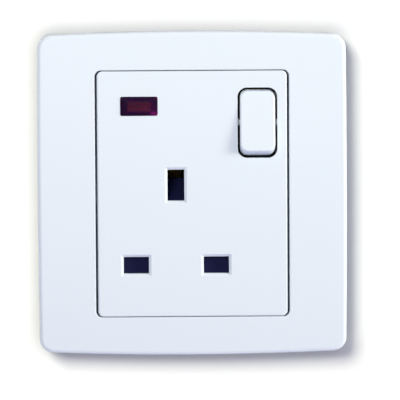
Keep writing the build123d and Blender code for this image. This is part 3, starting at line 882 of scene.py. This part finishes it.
@dataclass
class RearHousing:
    """Rear moulding with its screws and the raised marks of its terminals."""

    finishes: Finishes
    mark_height: float = 3.6 * MM
    capital_share: float = 0.7
    mark_relief: float = 0.2 * MM
    mark_sink: float = 0.1 * MM
    mark_step: float = 6.4 * MM
    bar_width: float = 0.5 * MM
    bar_shares: tuple[float, ...] = (1.0, 0.62, 0.26)

    def build(self) -> None:
        """Raise the terminal marks on the floor, beside the screws and readable from behind."""
        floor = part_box("rear_housing")[1].y
        places = {mount["name"]: Vector(mount["pos_m"]) for mount in frame["record"]["mounts"]}
        for name, letter in (("line_terminal", "L"), ("neutral_terminal", "N")):
            spot = places[name]
            mesh = self.letter(letter, Vector((spot.x, floor, spot.z + self.mark_step)))
            add_piece(name + "_mark", mesh, HOUSING_SATIN, Body.SOCKET, self.finishes)
        spot = places["earth_terminal"]
        mesh = self.earth_sign(Vector((spot.x, floor, spot.z - self.mark_step)))
        add_piece("earth_terminal_mark", mesh, HOUSING_SATIN, Body.SOCKET, self.finishes)

    def letter(self, letter: str, centre: Vector) -> bpy.types.Mesh:
        """Raised letter that faces backwards.

        Args:
            letter: The letter.
            centre: Its middle on the floor's outside.

        Returns:
            Its mesh.
        """
        curve = bpy.data.curves.new("terminal_letter", "FONT")
        curve.body = letter
        curve.size = self.mark_height / self.capital_share
        curve.align_x = "CENTER"
        curve.align_y = "CENTER"
        curve.extrude = (self.mark_relief + self.mark_sink) / 2
        holder = bpy.data.objects.new("terminal_letter", curve)
        bpy.context.scene.collection.objects.link(holder)
        bpy.context.view_layer.update()
        settled = holder.evaluated_get(bpy.context.evaluated_depsgraph_get())
        mesh = bpy.data.meshes.new_from_object(settled)
        bpy.data.objects.remove(holder)
        lift = Vector((0.0, (self.mark_relief - self.mark_sink) / 2, 0.0))
        facing_back = Matrix(((-1, 0, 0), (0, 0, 1), (0, 1, 0))).to_4x4()
        mesh.transform(Matrix.Translation(centre + lift) @ facing_back)
        mesh.materials.clear()
        return mesh

    def earth_sign(self, centre: Vector) -> bpy.types.Mesh:
        """Raised earth sign: a stem over three bars.

        Args:
            centre: Its middle on the floor's outside.

        Returns:
            Its mesh.
        """
        half = self.mark_height / 2
        inner, outer = centre.y - self.mark_sink, centre.y + self.mark_relief
        step = half / len(self.bar_shares)

        def build(work: bmesh.types.BMesh) -> None:
            """Add the stem and the bars.

            Args:
                work: Mesh that takes them.
            """
            add_bar(
                work,
                Vector((centre.x - self.bar_width / 2, inner, centre.z)),
                Vector((centre.x + self.bar_width / 2, outer, centre.z + half)),
            )
            for row, share in enumerate(self.bar_shares):
                level = centre.z - row * step
                add_bar(
                    work,
                    Vector((centre.x - half * share, inner, level - self.bar_width)),
                    Vector((centre.x + half * share, outer, level)),
                )

        return mesh_from("earth_sign", build)

    def dress(self) -> None:
        """Give the housing and its screws their finishes."""
        self.finishes.dress("rear_housing", HOUSING_SATIN)
        self.finishes.dress("housing_screws", ZINC_STEEL)


WARM_LIGHT: Colour = (1.0, 0.985, 0.82)


@dataclass(frozen=True)
class Lamp:
    """Square soft light: its side in metres, power in watts, and the cone of its beam in degrees."""

    name: str
    place: Point
    size: float
    power: float
    colour: Colour
    reach: Reach
    mirrored: bool = True
    aim: Point = (0.0, 0.0, 0.0)
    beam: float = 180.0

    def build(self, wall: bpy.types.Object) -> None:
        """Hang the light, turn it to its aim and keep it to what it lights.

        Args:
            wall: The wall behind the plate.
        """
        data = bpy.data.lights.new(self.name, "AREA")
        data.size = self.size
        data.energy = self.power
        data.color = self.colour
        data.spread = math.radians(self.beam)
        light = bpy.data.objects.new(self.name, data)
        light.location = self.place
        light.rotation_euler = (Vector(self.aim) - light.location).to_track_quat("-Z", "Y").to_euler()
        light.visible_camera = False
        light.visible_glossy = self.mirrored
        bpy.context.scene.collection.objects.link(light)
        linked = bpy.data.collections.new(self.name + "_reach")
        linked.objects.link(wall)
        linked.collection_objects[0].light_linking.link_state = self.reach.value
        light.light_linking.receiver_collection = linked


@dataclass
class Studio:
    """White wall, soft light and the camera in front of the plate."""

    wall_half: float = 3.0
    wall_lap: float = 2.2 * MM
    wall_place: float = -0.05 * MM
    wall_colour: Colour = (0.9, 0.9, 0.9)
    wall_bounce: Colour = (0.5, 0.5, 0.5)
    # Painted shade round the plate: the colour the wall's paint darkens to where the plate is near, and how far
    # that darkening reaches.
    painted_contact_shade_colour: Colour = (0.33, 0.33, 0.31)
    painted_contact_shade_reach: float = 4.5 * MM
    sky_colour: Colour = (0.60, 0.60, 1.0)
    sky_level: float = 0.40
    dark_start: float = 0.0
    dark_full: float = 0.5
    dark_level: float = 0.03
    lamps: tuple[Lamp, ...] = (
        Lamp(
            name="key_lamp",
            place=(-0.30, -1.15, 0.36),
            size=0.45,
            power=1.03,
            colour=WARM_LIGHT,
            reach=Reach.PART,
            mirrored=False,
            aim=(-0.06, 0.0, 0.21),
            beam=50.0,
        ),
        Lamp(
            name="right_lamp",
            place=(0.91, -0.385, 0.20),
            size=0.32,
            power=8.9,
            colour=WARM_LIGHT,
            reach=Reach.PART,
        ),
        Lamp(
            name="lower_card",
            place=(0.05, -0.10, -0.70),
            size=0.30,
            power=0.9,
            colour=(0.78, 0.74, 1.0),
            reach=Reach.PART,
        ),
        Lamp(
            name="rear_lamp",
            place=(-0.55, 0.90, 0.55),
            size=0.35,
            power=12.5,
            colour=WARM_LIGHT,
            reach=Reach.PART,
        ),
        Lamp(
            name="wall_lamp",
            place=(-1.86, -3.90, 2.04),
            size=2.20,
            power=222.0,
            colour=(1.0, 1.0, 0.86),
            reach=Reach.WALL,
        ),
        Lamp(
            name="wall_fill",
            place=(-0.45, -2.00, -0.90),
            size=1.20,
            power=9.5,
            colour=(1.0, 0.99, 0.60),
            reach=Reach.WALL,
        ),
    )
    camera_azimuth: float = -0.7
    camera_elevation: float = 4.5
    camera_distance: float = 1.0
    camera_roll: float = -0.33
    pixels_per_metre: float = 3614.0
    plate_centre_pixel: tuple[float, float] = (192.4, 193.95)
    sensor: float = 36.0
    camera_reach: float = 20.0

    def build_wall(self) -> bpy.types.Object:
        """Stand the wall just in front of the plate's rear rim, open where the plate covers it.

        Returns:
            The wall.
        """
        low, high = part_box("surround")
        left, right = low.x + self.wall_lap, high.x - self.wall_lap
        bottom, top = low.z + self.wall_lap, high.z - self.wall_lap
        half = self.wall_half
        back = self.wall_place
        outer = [(-half, back, -half), (half, back, -half), (half, back, half), (-half, back, half)]
        inner = [(left, back, bottom), (right, back, bottom), (right, back, top), (left, back, top)]
        sides = [(step, (step + 1) % 4, 4 + (step + 1) % 4, 4 + step) for step in range(4)]
        mesh = bpy.data.meshes.new("wall")
        mesh.from_pydata(outer + inner, [], sides)
        wall = bpy.data.objects.new("wall", mesh)
        bpy.context.scene.collection.objects.link(wall)
        mesh.materials.append(self.wall_paint())
        return wall

    def wall_paint(self) -> bpy.types.Material:
        """Paint of the wall: white, with painted shade where the plate meets it, and clear from behind.

        The light that it throws back on the plate's sides is dimmer than what the eye sees.

        Returns:
            The material.
        """
        graph = ShaderGraph("wall_paint")
        nodes = graph.tree.nodes
        nodes.remove(graph.shader)
        # Painted shade: ambient occlusion blends the wall's paint towards the darker contact colour close to the
        # plate, a painted contact shadow.
        contact = graph.add("ShaderNodeAmbientOcclusion")
        contact.inputs["Distance"].default_value = self.painted_contact_shade_reach
        paint = graph.add("ShaderNodeBsdfDiffuse")
        shade = graph.blended(contact.outputs["AO"], self.painted_contact_shade_colour, self.wall_colour)
        graph.join(shade, paint.inputs["Color"])
        bounced = graph.add("ShaderNodeBsdfDiffuse")
        bounced.inputs["Color"].default_value = (*self.wall_bounce, 1.0)
        shown = graph.add("ShaderNodeMixShader")
        graph.join(graph.seen_ray(), shown.inputs["Fac"])
        graph.join(bounced.outputs["BSDF"], shown.inputs[1])
        graph.join(paint.outputs["BSDF"], shown.inputs[2])
        side = graph.add("ShaderNodeNewGeometry")
        clear = graph.add("ShaderNodeBsdfTransparent")
        sided = graph.add("ShaderNodeMixShader")
        graph.join(side.outputs["Backfacing"], sided.inputs["Fac"])
        graph.join(shown.outputs["Shader"], sided.inputs[1])
        graph.join(clear.outputs["BSDF"], sided.inputs[2])
        graph.join(sided.outputs["Shader"], nodes["Material Output"].inputs["Surface"])
        return graph.material

    def build_sky(self) -> None:
        """Light the room evenly, with white past the wall and a dark front in mirror images."""
        world = bpy.data.worlds.new("room")
        bpy.context.scene.world = world
        world.use_nodes = True
        tree = world.node_tree
        tree.nodes.clear()
        place = tree.nodes.new("ShaderNodeTexCoord")
        parts = tree.nodes.new("ShaderNodeSeparateXYZ")
        dark = tree.nodes.new("ShaderNodeMapRange")
        dark.interpolation_type = "SMOOTHSTEP"
        dark.inputs["From Min"].default_value = -self.dark_start
        dark.inputs["From Max"].default_value = -self.dark_full
        dark.inputs["To Min"].default_value = 1.0
        dark.inputs["To Max"].default_value = self.dark_level
        soft = tree.nodes.new("ShaderNodeBackground")
        soft.inputs["Color"].default_value = (*self.sky_colour, 1.0)
        soft.inputs["Strength"].default_value = self.sky_level
        mirrored = tree.nodes.new("ShaderNodeBackground")
        white = tree.nodes.new("ShaderNodeBackground")
        for pale in (mirrored, white):
            pale.inputs["Color"].default_value = (1.0, 1.0, 1.0, 1.0)
        ray = tree.nodes.new("ShaderNodeLightPath")
        shown = tree.nodes.new("ShaderNodeMath")
        shown.operation = "MAXIMUM"
        inner = tree.nodes.new("ShaderNodeMixShader")
        outer = tree.nodes.new("ShaderNodeMixShader")
        out = tree.nodes.new("ShaderNodeOutputWorld")
        link = tree.links.new
        link(place.outputs["Generated"], parts.inputs["Vector"])
        link(parts.outputs["Y"], dark.inputs["Value"])
        link(dark.outputs["Result"], mirrored.inputs["Strength"])
        link(ray.outputs["Is Glossy Ray"], shown.inputs[0])
        link(ray.outputs["Is Transmission Ray"], shown.inputs[1])
        link(shown.outputs[0], inner.inputs["Fac"])
        link(soft.outputs["Background"], inner.inputs[1])
        link(mirrored.outputs["Background"], inner.inputs[2])
        link(ray.outputs["Is Camera Ray"], outer.inputs["Fac"])
        link(inner.outputs["Shader"], outer.inputs[1])
        link(white.outputs["Background"], outer.inputs[2])
        link(outer.outputs["Shader"], out.inputs["Surface"])

    def build_camera(self) -> None:
        """Set the camera where the photograph was taken from."""
        data = bpy.data.cameras.new("camera")
        data.sensor_width = self.sensor
        data.lens = self.sensor * self.camera_distance * self.pixels_per_metre / PHOTO_PIXELS
        data.clip_end = self.camera_reach
        azimuth = math.radians(self.camera_azimuth)
        elevation = math.radians(self.camera_elevation)
        back = Vector((
            math.sin(azimuth) * math.cos(elevation),
            -math.cos(azimuth) * math.cos(elevation),
            math.sin(elevation),
        ))
        roll = Matrix.Rotation(math.radians(self.camera_roll), 3, "Z")
        turn = (-back).to_track_quat("-Z", "Y").to_matrix() @ roll
        middle = PHOTO_PIXELS / 2
        aside = (middle - self.plate_centre_pixel[0]) / self.pixels_per_metre
        below = (middle - self.plate_centre_pixel[1]) / self.pixels_per_metre
        face = Vector((0.0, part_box("front_panel")[0].y, 0.0))
        target = face + turn @ Vector((aside, -below, 0.0))
        camera = bpy.data.objects.new("camera", data)
        camera.matrix_world = Matrix.Translation(target + back * self.camera_distance) @ turn.to_4x4()
        bpy.context.scene.collection.objects.link(camera)
        bpy.context.scene.camera = camera

    def build(self) -> None:
        """Set up the wall, the light and the camera."""
        bpy.context.scene.view_settings.view_transform = "Standard"
        wall = self.build_wall()
        self.build_sky()
        for lamp in self.lamps:
            lamp.build(wall)
        self.build_camera()
        LOG.info("studio is ready")


def main() -> None:
    """Build the sub-assemblies in order, dress them and set up the studio."""
    logging.basicConfig(level=logging.INFO, format="%(name)s: %(message)s")
    finishes = Finishes()
    Studio().build()
    FacePlate(finishes).dress()
    switch = SwitchWorks(finishes)
    switch.build()
    switch.dress()
    shutter = ShutterWorks(finishes)
    shutter.build()
    shutter.dress()
    neon = NeonWorks(finishes)
    neon.build()
    neon.dress()
    PinContacts(finishes).dress()
    housing = RearHousing(finishes)
    housing.build()
    housing.dress()


if __name__ == "__main__":
    main()
